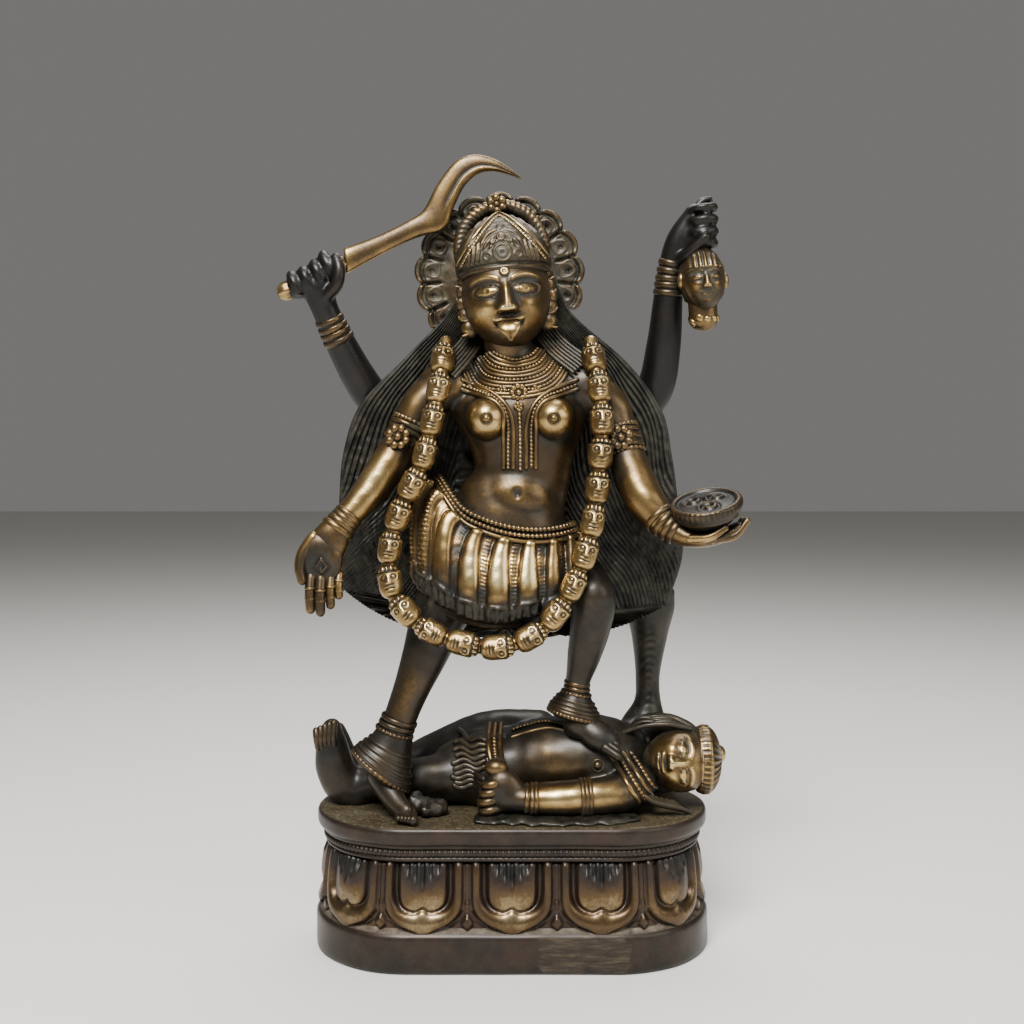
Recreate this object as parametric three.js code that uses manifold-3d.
// A four-armed goddess in cast brass, striding over a reclining god on an oval lotus plinth.
// The whole work is one casting, so it is built as one closed body.
// Millimetres, +Z up. The origin is the centre of the plinth's underside, and the goddess faces -Y.

import * as THREE from "three";
import { ParametricGeometry } from "three/addons/geometries/ParametricGeometry.js";
import { mergeVertices } from "three/addons/utils/BufferGeometryUtils.js";
import Module from "manifold-3d";

const wasm = await Module();
wasm.setup();

// Driving sizes of the plinth.
const plinthLength = 124;
const plinthDepth = 62;
const footHeight = 12;
const lotusHeight = 21.4;
const beadBandHeight = 4.6;
const slabThickness = 5.3;
const slabRounding = 0.8;
const ledgeInset = 1.6;
const lotusBelly = 0.6;
const neckInset = 7;
const beadProud = 2.2;
const petalCount = 12;
const petalGroove = 2;

// Driving size of the figures: from the slab to the top of the sword.
const figureHeight = 206;

const plinthHeight = footHeight + lotusHeight + beadBandHeight + slabThickness;
const endRadius = plinthDepth / 2;
const halfStraight = plinthLength / 2 - endRadius;

// The figures are free forms. Their points are shares of their height: 206 parts from the slab
// to the top of the sword, with z = 0 on the slab. This is one part in millimetres.
const FIGURE_PARTS = 206;
const part = figureHeight / FIGURE_PARTS;

// How far a piece that stands on the slab is let into it, in parts.
const SEATING = 1.5;

// Turns a closed three.js geometry into a solid.
function solid(geometry) {
  const bare = new THREE.BufferGeometry();
  bare.setAttribute("position", geometry.getAttribute("position"));
  if (geometry.index) bare.setIndex(geometry.index);
  const merged = mergeVertices(bare, 1e-3);
  const corners = merged.index.array;
  const kept = [];
  for (let i = 0; i < corners.length; i += 3) {
    const [a, b, c] = [corners[i], corners[i + 1], corners[i + 2]];
    if (a !== b && b !== c && c !== a) kept.push(a, b, c);
  }
  const vertices = merged.attributes.position.array;
  const facing = signedVolume(vertices, kept) < 0 ? kept.reverse() : kept;
  const mesh = new wasm.Mesh({ numProp: 3, vertProperties: vertices, triVerts: new Uint32Array(facing) });
  return new wasm.Manifold(mesh);
}

// Six times the volume inside the triangles, below zero when they face inwards.
function signedVolume(vertices, corners) {
  let sum = 0;
  const corner = (i) => new THREE.Vector3().fromArray(vertices, 3 * corners[i]);
  for (let i = 0; i < corners.length; i += 3) sum += corner(i).dot(corner(i + 1).cross(corner(i + 2)));
  return sum;
}

function joined(solids) {
  return solids.reduce((whole, next) => whole.add(next));
}

// Straight steps between the entries of a list, at t from 0 to 1.
function along(list, t) {
  const place = t * (list.length - 1);
  const index = Math.min(Math.floor(place), list.length - 2);
  return list[index] + (list[index + 1] - list[index]) * (place - index);
}

function vector([x, y, z]) {
  return new THREE.Vector3(x, y, z);
}

// A limb: oval rings carried along a smooth path through the points. Each radius is a number, or
// [across, front to back]. A bangle is [t, how proud, half its width in t] and needs no solid of
// its own. The ends are blunt.
function limb(points, radii, { sides = 7, bangles = [] } = {}) {
  const path = new THREE.CatmullRomCurve3(points.map(vector), false, "centripetal");
  const across = radii.map((r) => (Array.isArray(r) ? r[0] : r));
  const deep = radii.map((r) => (Array.isArray(r) ? r[1] : r));
  const plain = radii
    .map((_, i) => [i / (radii.length - 1), 0])
    .filter(([t]) => !bangles.some(([place, , half]) => Math.abs(t - place) < 1.3 * half));
  const proud = bangles.flatMap(([t, rise, half]) => [
    [t - half, 0],
    [t, rise],
    [t + half, 0],
  ]);
  const rings = [...plain, ...proud]
    .sort((a, b) => a[0] - b[0])
    .filter(([t, rise], i, all) => i === 0 || rise || t - all[i - 1][0] > 0.01);
  const bands = rings.length + 1;
  const surface = (u, v, target) => {
    const band = Math.round(v * bands);
    const [t, rise] = rings[Math.min(Math.max(band - 1, 0), rings.length - 1)];
    const open = band === 0 || band === bands ? 0 : 1;
    const ahead = path.getTangent(t);
    const forward = Math.abs(ahead.y) > 0.9 ? new THREE.Vector3(0, 0, 1) : new THREE.Vector3(0, -1, 0);
    const side = new THREE.Vector3().crossVectors(ahead, forward).normalize();
    const front = new THREE.Vector3().crossVectors(side, ahead).normalize();
    const angle = u * 2 * Math.PI;
    target
      .copy(path.getPoint(t))
      .addScaledVector(side, open * (along(across, t) + rise) * Math.cos(angle))
      .addScaledVector(front, open * (along(deep, t) + rise) * Math.sin(angle));
  };
  return solid(new ParametricGeometry(surface, sides, bands));
}

// A row of knuckles or toes: one bar that swells and narrows once for each of them.
function row(from, to, count, radius) {
  const groove = 0.72;
  const [start, end] = [vector(from), vector(to)];
  const points = [];
  const radii = [];
  for (let i = 0; i <= 2 * count; i++) {
    points.push(start.clone().lerp(end, i / (2 * count)).toArray());
    radii.push(radius.map((r) => r * (i % 2 ? 1 : groove)));
  }
  return limb(points, radii, { sides: 5 });
}

// An egg: a sphere with its own radius along each axis.
function egg(centre, radii, { around = 8, down = 5 } = {}) {
  const ball = new THREE.SphereGeometry(1, around, down);
  ball.rotateX(Math.PI / 2);
  ball.scale(...radii);
  ball.translate(...centre);
  return solid(ball);
}

// A point on the plinth's outline: travel is the distance round it from the middle of the front,
// and inset is how far the outline has moved in.
function ovalPoint(travel, inset) {
  const radius = endRadius - inset;
  const bend = Math.PI * endRadius;
  const corners = [halfStraight, halfStraight + bend, 3 * halfStraight + bend, 3 * halfStraight + 2 * bend];
  if (travel < corners[0]) return [travel, -radius];
  if (travel < corners[1]) {
    const angle = (travel - corners[0]) / endRadius - Math.PI / 2;
    return [halfStraight + radius * Math.cos(angle), radius * Math.sin(angle)];
  }
  if (travel < corners[2]) return [halfStraight - (travel - corners[1]), radius];
  if (travel < corners[3]) {
    const angle = (travel - corners[2]) / endRadius + Math.PI / 2;
    return [-halfStraight + radius * Math.cos(angle), radius * Math.sin(angle)];
  }
  return [travel - corners[3] - halfStraight, -radius];
}

// The oval plinth: a plain foot, a band of downturned lotus petals that swells and narrows to a
// neck, a bead row and a slab. Each level is a height, an inset and how deep the grooves between
// petals are cut there.
function plinth() {
  const lotusTop = footHeight + lotusHeight;
  const beadTop = lotusTop + beadBandHeight;
  const levels = [
    [0, 0, 0],
    [footHeight, 0, 0],
    [footHeight + 1, ledgeInset, 0],
    [footHeight + 0.24 * lotusHeight, lotusBelly, 1],
    [footHeight + 0.56 * lotusHeight, lotusBelly + 1, 1],
    [lotusTop, neckInset, 0.4],
    [lotusTop + beadBandHeight / 2, neckInset - beadProud, 0],
    [beadTop, neckInset, 0],
    [beadTop + 0.3, slabRounding / 2, 0],
    [plinthHeight - slabRounding, 0, 0],
    [plinthHeight, slabRounding, 0],
  ];
  const petalSteps = [-0.5, -0.38, 0, 0.38];
  const perimeter = 4 * halfStraight + 2 * Math.PI * endRadius;
  const pitch = perimeter / petalCount;
  const stepsRound = petalCount * petalSteps.length;
  const bands = levels.length + 1;
  const surface = (u, v, target) => {
    const step = Math.round(u * stepsRound) % stepsRound;
    const place = petalSteps[step % petalSteps.length];
    const petal = Math.floor(step / petalSteps.length);
    const travel = (((petal + place) * pitch) % perimeter + perimeter) % perimeter;
    const band = Math.round(v * bands);
    const [z, inset, cut] = levels[Math.min(Math.max(band - 1, 0), levels.length - 1)];
    const groove = place === petalSteps[0] ? petalGroove * cut : 0;
    const [x, y] = ovalPoint(travel, inset + groove);
    const open = band === 0 || band === bands ? 0 : 1;
    target.set(x * open, y * open, z);
  };
  return solid(new ParametricGeometry(surface, stepsRound, bands));
}

// The goddess's loose hair: a thick bowed sheet behind her, as wide as the lists say at each
// height, with its edges forward, a curved hem and a strand groove at every second column.
function hairMantle() {
  const top = 172;
  const hem = 51;
  const hemRise = 24;
  const left = [11, 22, 40, 50, 54, 55, 54, 52];
  const right = [11, 19, 38, 48.5, 51.5, 53, 55, 53];
  const bow = [3, 7, 11, 13.5, 14, 13.5, 12, 10];
  const edgeY = [8, 7.6, 4.4, 2, 2, 2, 4, 5];
  const halfThickness = 4.6;
  const strandDepth = 0.8;
  const columns = 28;
  const bands = left.length + 1;
  const surface = (u, v, target) => {
    const band = Math.round(v * bands);
    const t = Math.min(Math.max((band - 1) / (bands - 2), 0), 1);
    const column = Math.round(u * columns) % columns;
    const angle = (column / columns) * 2 * Math.PI;
    const a = Math.cos(angle);
    const strand = column % 2 === 0 ? strandDepth : -strandDepth;
    const bottom = hem + hemRise * Math.abs(a) ** 4;
    const spine = along(edgeY, t) + along(bow, t);
    if (band === 0 || band === bands) {
      target.set(0, spine, top + (hem - top) * t);
      return;
    }
    target.set(
      a * (a > 0 ? along(right, t) : along(left, t)),
      spine - along(bow, t) * a * a - Math.sin(angle) * (halfThickness + strand),
      top + (bottom - top) * t,
    );
  };
  return solid(new ParametricGeometry(surface, columns, bands));
}

// The fan behind her head: a border of upright petals round a raised disc.
function halo() {
  const centre = [-4, 167.9];
  const petals = 17;
  const stepsPerPetal = 3;
  const [front, back] = [2.4, 7];
  // Each ring of the plate is a radius, how much of the petal wave it takes, and a depth.
  const rings = [
    [0, 0, back],
    [25.8, 1, back],
    [25.4, 1, front],
    [19.4, 0, front + 1.4],
    [18.4, 0, front - 1.8],
    [0, 0, front - 1.8],
  ];
  const columns = petals * stepsPerPetal;
  const surface = (u, v, target) => {
    const column = Math.round(u * columns) % columns;
    const angle = (column / columns) * 2 * Math.PI + Math.PI / 2;
    const [radius, wave, y] = rings[Math.round(v * (rings.length - 1))];
    const crest = column % stepsPerPetal === 0 ? -wave : 1.8 * wave;
    const reach = radius ? radius + crest : 0;
    target.set(centre[0] + reach * Math.cos(angle), y, centre[1] + reach * Math.sin(angle));
  };
  return solid(new ParametricGeometry(surface, columns, rings.length - 1));
}

// A carved face on an egg-shaped head, placed by height on the head from -1, chin, to 1, crown.
function carvedHead(centre, radii, around = 14, down = 10) {
  const [rx, ry, rz] = radii;
  const bump = (a, h, a0, h0, wide, tall) => Math.exp(-(((a - a0) / wide) ** 2) - ((h - h0) / tall) ** 2);
  const surface = (u, v, target) => {
    const lean = Math.PI * v;
    const angle = 2 * Math.PI * u;
    const a = Math.sin(angle);
    const h = -Math.cos(lean);
    const facing = Math.cos(angle) > 0 ? 1 : 0;
    const nose = 0.17 * bump(a, h, 0, -0.2, 0.2, 0.2);
    const eyes = 0.06 * (bump(a, h, 0.4, 0.08, 0.2, 0.14) + bump(a, h, -0.4, 0.08, 0.2, 0.14));
    const chin = 0.06 * bump(a, h, 0, -0.84, 0.25, 0.14);
    const reach = Math.sin(lean) + facing * (nose - eyes + chin);
    target.set(
      centre[0] + rx * Math.sin(lean) * (1 - 0.1 * Math.max(0, -h)) * a,
      centre[1] - ry * reach * Math.cos(angle),
      centre[2] + rz * h,
    );
  };
  return solid(new ParametricGeometry(surface, around, down));
}

// The middle of her head, and how far it leans towards her right shoulder, in degrees.
const headMiddle = [-1.8, -5.5, 160.5];
const headLean = 5.5;

// Leans a solid together with her head.
function leaning(upright) {
  return upright
    .translate(headMiddle.map((at) => -at))
    .rotate([0, -headLean, 0])
    .translate(headMiddle);
}

// Her head, with the tongue out, ears with heavy earrings, and the neck under it.
function goddessHead() {
  const [x, y, z] = headMiddle;
  const tongue = limb([[x, -16, 152], [x, -19.4, 150.4], [x, -19.4, 145.6]], [[2.2, 1], [2.6, 1.2], [1.2, 0.8]], {
    sides: 5,
  });
  const ears = [-1, 1].map((side) =>
    limb(
      [[x + side * 12.6, y + 1, 165], [x + side * 14.4, y, 156.5], [x + side * 14.4, y, 151], [x + side * 13, y, 147]],
      [2, 2.2, 2.8, 1.8],
      { sides: 6 },
    ),
  );
  const neck = limb([[0, -1, 132], [-1, -2, 140], [-2, -3.5, 150]], [9.5, 7.4, 8]);
  return leaning(joined([carvedHead([x, y, z], [14.2, 13.4, 17.4]), tongue, ...ears])).add(neck);
}

// The crown: a pointed dome over a brow band, with a boss on its front and a flower at its top.
function crown() {
  const [cx, cy] = [headMiddle[0], -4.5];
  const brow = 168;
  const profile = [
    [0, brow - 1],
    [14.6, brow - 1],
    [15.2, brow + 2],
    [14.4, brow + 7],
    [11.4, brow + 12],
    [6.4, brow + 16.4],
    [0, brow + 18.6],
  ].map(([r, z]) => new THREE.Vector2(r, z));
  const dome = new THREE.LatheGeometry(profile, 12);
  dome.rotateX(Math.PI / 2);
  dome.scale(1, 0.92, 1);
  dome.translate(cx, cy, 0);
  const boss = egg([cx, cy - 13.2, brow + 4.2], [2.8, 1.6, 2.8], { around: 6, down: 4 });
  const finial = egg([cx, 1, brow + 21.6], [4, 3.4, 3.4], { around: 6, down: 4 });
  return leaning(joined([solid(dome), boss, finial]));
}

// Her body from hips to shoulders, with the breasts, a collar of two rings and a pendant.
function torso() {
  const body = limb(
    [
      [-1.5, -3, 80],
      [-0.4, -3, 92],
      [3, -3, 103],
      [3.6, -3, 113],
      [3.4, -2.4, 123],
      [2.4, -1.6, 131],
      [0.6, -1, 138.6],
    ],
    [[22, 13], [18.4, 11.6], [15.2, 9.4], [17, 10], [21.6, 11.6], [24, 10.4], [11, 8]],
    { sides: 11, bangles: [[0.9, 1.1, 0.03], [0.96, 1.1, 0.03]] },
  );
  const breasts = [-7, 14.6].map((x) => egg([x, -11.2, 120.8], [8, 8.2, 8], { around: 9, down: 6 }));
  const pendant = limb([[2.8, -10.6, 133], [3.2, -12.4, 128], [3.8, -13, 123], [4, -12.4, 107]], [1.2, 3.4, 1.5, 1.3], {
    sides: 5,
  });
  return joined([body, ...breasts, pendant]);
}

// The skirt of hanging forearms: every second column is one forearm, and the columns between are
// cut back. Its top rolls out into the belt, which slopes down from her right hip to her left.
function skirt() {
  const columns = 44;
  const beltZ = 95;
  const beltSlope = 0.16;
  const hemZ = 58;
  // Each ring is a share of the way down, half the width, half the depth, the middle's x and y,
  // and how deep the cuts between the forearms are there.
  const rings = [
    [0, 17, 10, 1, -3.4, 0],
    [0.04, 22.4, 13.6, 0, -3.8, 0],
    [0.12, 21.6, 13, -0.6, -4, 0.3],
    [0.6, 26.6, 18.4, -2.6, -4.2, 1.1],
    [1, 25, 17, -2.4, -3.6, 1.1],
  ];
  const bands = rings.length + 1;
  const surface = (u, v, target) => {
    const band = Math.round(v * bands);
    const [t, across, deep, middleX, middleY, flute] = rings[Math.min(Math.max(band - 1, 0), rings.length - 1)];
    const column = Math.round(u * columns) % columns;
    const angle = (column / columns) * 2 * Math.PI;
    const cut = column % 2 ? flute : 0;
    const open = band === 0 || band === bands ? 0 : 1;
    const x = middleX + open * (across - cut) * Math.cos(angle);
    const top = beltZ - beltSlope * x;
    target.set(x, middleY + open * (deep - cut) * Math.sin(angle), top + (hemZ - top) * t);
  };
  return solid(new ParametricGeometry(surface, columns, bands));
}

// The garland: small heads strung crown to chin in a long loop over both shoulders, down to her
// knees. Each head is a narrow cap, a brow and a jaw.
function garland() {
  const heads = 21;
  const path = new THREE.CatmullRomCurve3(
    [
      [-21.6, -8, 141],
      [-22.6, -13, 132],
      [-27.6, -16.5, 108],
      [-34, -16.5, 94],
      [-37.6, -17, 80],
      [-36, -18.5, 68],
      [-28, -20.5, 59],
      [-16, -22.5, 53.8],
      [-3, -23.4, 52.6],
      [8, -22, 57],
      [16.6, -20.5, 67],
      [22.2, -18.8, 80],
      [25.4, -17, 94],
      [27.6, -15.5, 121],
      [26.8, -13, 133],
      [25.6, -8, 141],
    ].map(vector),
  );
  const falling = [[0.02, 2.5], [0.45, 4.4], [0.88, 3.5]];
  const rising = [[0.12, 3.5], [0.55, 4.4], [0.98, 2.5]];
  const points = [];
  const radii = [];
  for (let i = 0; i < heads; i++) {
    for (const [share, size] of i < heads / 2 ? falling : rising) {
      points.push(path.getPointAt((i + share) / heads).toArray());
      radii.push(size);
    }
  }
  return limb(points, radii, { sides: 6 });
}

// The scimitar, in X and Z: a shaft, a heel and a blade that hooks forward.
function sword() {
  const blade = new THREE.Shape();
  blade.moveTo(-68, 160.5);
  blade.lineTo(-26.5, 177.6);
  blade.quadraticCurveTo(-21, 180.4, -17.9, 182);
  blade.quadraticCurveTo(-19, 190.5, -14.6, 195);
  blade.quadraticCurveTo(-9, 200.4, 2.9, 198.2);
  blade.quadraticCurveTo(-4, 206.4, -11, 205.9);
  blade.quadraticCurveTo(-18.6, 205, -24, 194.6);
  blade.quadraticCurveTo(-26.4, 188, -32, 182.4);
  blade.lineTo(-69.6, 165.8);
  blade.closePath();
  const [yFront, yBack] = [-4.4, -0.4];
  const slab = new THREE.ExtrudeGeometry(blade, { depth: yBack - yFront, bevelEnabled: false, curveSegments: 3 });
  slab.rotateX(Math.PI / 2);
  slab.translate(0, yBack, 0);
  const heel = egg([-21, 1, 180], [4, 3, 4.4], { around: 6, down: 4 });
  return joined([solid(slab), heel]);
}

// Her upper right arm, from the hair up to a fist closed round the sword.
function swordArm() {
  const arm = limb(
    [[-40, 8, 122], [-48.6, 5, 134], [-54.2, 1, 147], [-57.8, -1.5, 156], [-61, -2.6, 165]],
    [6.4, 5.8, 4.8, 3.9, 5.4],
    { bangles: [[0.61, 1, 0.035], [0.69, 1, 0.035]] },
  );
  const knuckles = row([-67.8, -4.6, 167], [-55.6, -4.6, 172], 4, [4.2, 5.2]);
  const thumb = limb([[-56, -5, 162], [-55, -8, 167.6], [-55, -6, 172]], [2.4, 2.2, 1.7], { sides: 5 });
  const pommel = egg([-70.6, -2.4, 162], [2.8, 2.6, 2.8], { around: 6, down: 4 });
  return joined([arm, knuckles, thumb, pommel]);
}

// Her upper left arm, from the hair up to a hand that holds a head by its hair.
function headArm() {
  const arm = limb(
    [[38, 9, 122], [46.4, 7.4, 132], [49, 4.6, 146], [51, 2.6, 160], [52.4, 1, 170], [54, -1, 179], [58, -3, 187.4]],
    [6.8, 6, 5.4, 4.6, 4.6, 4.4, 3.4],
    { bangles: [[0.56, 1, 0.028], [0.625, 1, 0.028]] },
  );
  const knuckles = row([60.6, -5, 172.4], [60.6, -5, 188.4], 4, [3.4, 4.4]);
  const thumb = limb([[53, -3, 172], [57, -8, 176], [60, -9, 179]], [2.2, 2, 1.6], { sides: 5 });
  const head = carvedHead([60.2, -6.6, 162.4], [7, 7.4, 10.2], 10, 7);
  const knot = limb([[59.6, -5, 166], [59.2, -5.4, 174]], [5.4, 3.2], { sides: 6 });
  return joined([arm, knuckles, thumb, head, knot]);
}

// Her lower right arm: it hangs out from the shoulder with the open palm to the front.
function openArm() {
  const arm = limb(
    [
      [-20, -3, 132],
      [-28, -5.4, 127],
      [-34, -7, 116],
      [-38.8, -9, 107],
      [-45, -12, 98],
      [-50.8, -14.6, 91],
      [-55, -16.6, 84.6],
      [-58.4, -18, 77],
      [-58.8, -18.8, 73],
    ],
    [7, 6.2, 5.4, 6, 5.2, 4.2, [5.4, 4], [6.6, 3], [6.4, 2.6]],
    { bangles: [[0.24, 2, 0.04], [0.6, 0.9, 0.025], [0.66, 0.9, 0.025]] },
  );
  const fingers = [0, 1, 2, 3].map((i) =>
    limb(
      [[-63.4 + 3.2 * i, -18.4, 76], [-63 + 3 * i, -19.4, 70], [-62.4 + 2.8 * i, -21, 66 - 2.6 * Math.sin(i + 0.4)]],
      [1.75, 1.7, 1.2],
      { sides: 4 },
    ),
  );
  const thumb = limb([[-60, -18.6, 83.6], [-65, -20.6, 79], [-65.4, -21.6, 73.6]], [2.4, 2, 1.4], { sides: 5 });
  return joined([arm, ...fingers, thumb]);
}

// Her lower left arm: the forearm comes forward and out, and the flat hand carries a bowl.
function bowlArm() {
  const arm = limb(
    [
      [20, -3, 132],
      [30, -5, 127],
      [34.6, -7.4, 116],
      [37, -10, 106],
      [41, -13.6, 96.6],
      [47.6, -17.6, 88.6],
      [55, -19.6, 84.6],
      [63.6, -19.8, 84.8],
      [71.4, -19.4, 90.4],
    ],
    [7, 6.2, 5.4, 6.2, 6.2, 4.4, [3.4, 5.4], [2.6, 5.8], [1.4, 4.4]],
    { bangles: [[0.25, 2, 0.04], [0.595, 1, 0.025], [0.655, 1, 0.025]] },
  );
  const thumb = limb([[55, -23, 85.6], [59.4, -26.4, 88.4], [63, -27.4, 91]], [2.2, 2, 1.4], { sides: 5 });
  return joined([arm, thumb, bowl()]);
}

// The shallow bowl on her palm, tipped towards the front, filled to just under the rim.
function bowl() {
  const profile = [
    [0, -5],
    [6, -4.6],
    [10.6, -0.8],
    [11.2, 2.2],
    [9.4, 2.4],
    [0, 1.4],
  ].map(([r, z]) => new THREE.Vector2(r, z));
  const dish = new THREE.LatheGeometry(profile, 12);
  dish.rotateX(Math.PI / 2);
  dish.rotateX(THREE.MathUtils.degToRad(18));
  dish.rotateY(THREE.MathUtils.degToRad(-12));
  dish.translate(59.4, -20, 92.6);
  return solid(dish);
}

// Her legs: the right one reaches down over the god's shins to the slab, and the left one is
// bent, with its foot on his chest. Each leg and foot is one limb with its anklets.
function legs() {
  const right = limb(
    [
      [-14, -3, 76],
      [-22, -6.4, 62],
      [-27.4, -8.6, 47],
      [-32.4, -10.6, 33],
      [-38.2, -12.4, 19.6],
      [-38.6, -16.4, 11.6],
      [-35.4, -22, 5.2],
      [-32.4, -26.4, 1.4],
    ],
    [12, 9.4, 7.2, 6.2, 5.2, [6.2, 5.4], [6.2, 3.2], [5.2, 1.8]],
    { bangles: [[0.55, 0.9, 0.022], [0.65, 1.4, 0.03]] },
  );
  const rightHeel = egg([-42.4, -9.8, 13.6], [4.6, 4.6, 5], { around: 6, down: 4 });
  const rightToes = row([-38, -24, 1.6], [-27, -27.4, 1.6], 5, [1.5, 2.2]);
  const left = limb(
    [
      [8, -4, 80],
      [20, -9.6, 73.6],
      [25, -12, 66],
      [24, -10.2, 57],
      [22, -8, 46],
      [19, -6, 35],
      [19.6, -8, 27],
      [25, -12.4, 22.4],
      [30, -16.4, 18.6],
    ],
    [11, 8.4, 7, 6.4, 5.6, 4.8, [6, 5.6], [5.4, 3.2], [4.6, 1.8]],
    { bangles: [[0.59, 0.9, 0.022], [0.69, 1.4, 0.03]] },
  );
  const leftHeel = egg([14.4, -4.6, 29], [4.6, 4.6, 4.6], { around: 6, down: 4 });
  const leftToes = row([27.6, -20, 19.4], [33.4, -12.6, 18.4], 5, [1.5, 2.2]);
  return joined([right, rightHeel, rightToes, left, leftHeel, leftToes]);
}

// The flared post under the hair, which holds the casting up at the back.
function hairPost() {
  return limb(
    [[47, 13, 70], [47, 15.6, 60], [46.4, 17.6, 42], [46.2, 18.4, 28], [46, 18, 14], [46, 17.6, -2 * SEATING]],
    [8.4, 8.4, 5.2, 6.6, 9, 9.6],
  );
}

// The god lying under her feet: head to her left, feet turned up at her right, one arm along his
// near side with a fist, the other bent behind his head.
function recliningGod() {
  const trunk = limb(
    [[-16, 1, 9], [-8, 1.6, 9.6], [0, 2, 10.6], [12, 1.5, 13], [26, 1, 14], [37, 1, 12.6], [43, 0, 10.6]],
    [[10.6, 11.2], [12.8, 14], [12, 13.2], [13.2, 14.8], [13.4, 15.4], [10.6, 14], [5.6, 7]],
    { sides: 10 },
  );
  const nearLeg = limb([[-6, -3, 10], [-20, -3.4, 8.4], [-36, -2, 7], [-51, -1, 5]], [[8.6, 8], [7.8, 7.4], 6, 5]);
  const farLeg = limb(
    [[8, 13, 18], [-8, 14, 17.4], [-24, 13, 12], [-38, 11.6, 7], [-51, 10, 5]],
    [8.6, 8.4, 7.4, 6, 5],
  );
  const upturnedFoot = (y) =>
    limb([[-49, y, 3], [-54.4, y, 9], [-57, y, 18], [-58, y, 22]], [[5.4, 4.6], [4.4, 4.8], [2.6, 5], [2, 5]]);
  const nearArm = limb(
    [[39, -12, 9], [32, -18.4, 6.6], [16, -20.4, 5.6], [6, -20.8, 5.4], [-0.6, -20.8, 6.4]],
    [6, 5.4, 4.9, 4, 4.6],
    { sides: 6, bangles: [[0.4, 1, 0.03], [0.75, 1.3, 0.04]] },
  );
  const fist = row([-3, -20.6, 1.6], [-3, -20.6, 13], 4, [4.6, 4.8]);
  const ball = egg([-4.4, -17.6, 15.4], [4, 3.8, 3], { around: 6, down: 4 });
  const farArm = limb([[36, 10, 16], [44, 14, 20], [54, 9, 20.6], [60, 2, 17]], [5.4, 4.6, 3.8, 4], { sides: 5 });
  const head = carvedHead([0, 0, 0], [9, 9.6, 11], 10, 7).rotate([-38, 90, 0]).translate([52, -6.6, 13.8]);
  const hair = egg([61, -4.4, 13.6], [5.6, 10, 10.4], { around: 7, down: 4 });
  const topKnot = egg([66.4, -3.6, 14.6], [2.6, 4, 4.2], { around: 6, down: 4 });
  const sash = limb([[38, -14, 6], [39.6, -13, 16], [39, -4, 23], [38, 8, 24]], [2.6, 2.6, 2.6, 2.4], { sides: 5 });
  const limbs = [nearLeg, farLeg, nearArm, farArm, upturnedFoot(-1.6), upturnedFoot(10.4)];
  return joined([trunk, ...limbs, fist, ball, head, hair, topKnot, sash]);
}

const figures = joined([
  hairMantle(),
  halo(),
  goddessHead(),
  crown(),
  torso(),
  skirt(),
  garland(),
  sword(),
  swordArm(),
  headArm(),
  openArm(),
  bowlArm(),
  legs(),
  hairPost(),
  recliningGod(),
]);

// Everything below the slab's face, less the seating, is cut from the figures.
const underSlab = new THREE.BoxGeometry(4 * FIGURE_PARTS, 4 * FIGURE_PARTS, FIGURE_PARTS);
underSlab.translate(0, 0, -FIGURE_PARTS / 2 - SEATING);
const standing = figures.subtract(solid(underSlab)).scale(part).translate([0, 0, plinthHeight]);
const casting = plinth().add(standing);

const made = casting.getMesh();
const positions = new Float32Array((made.vertProperties.length / made.numProp) * 3);
for (let i = 0; i < positions.length / 3; i++)
  positions.set(made.vertProperties.subarray(i * made.numProp, i * made.numProp + 3), i * 3);
const geometry = new THREE.BufferGeometry()
  .setAttribute("position", new THREE.BufferAttribute(positions, 3))
  .setIndex(new THREE.BufferAttribute(made.triVerts, 1));
const darkBrass = new THREE.MeshStandardMaterial({ color: "#5a4424", metalness: 0.9, roughness: 0.42 });
const figure = new THREE.Mesh(geometry, darkBrass);
figure.name = "kali_figure";

const model = new THREE.Group();
model.add(figure);
export default model;
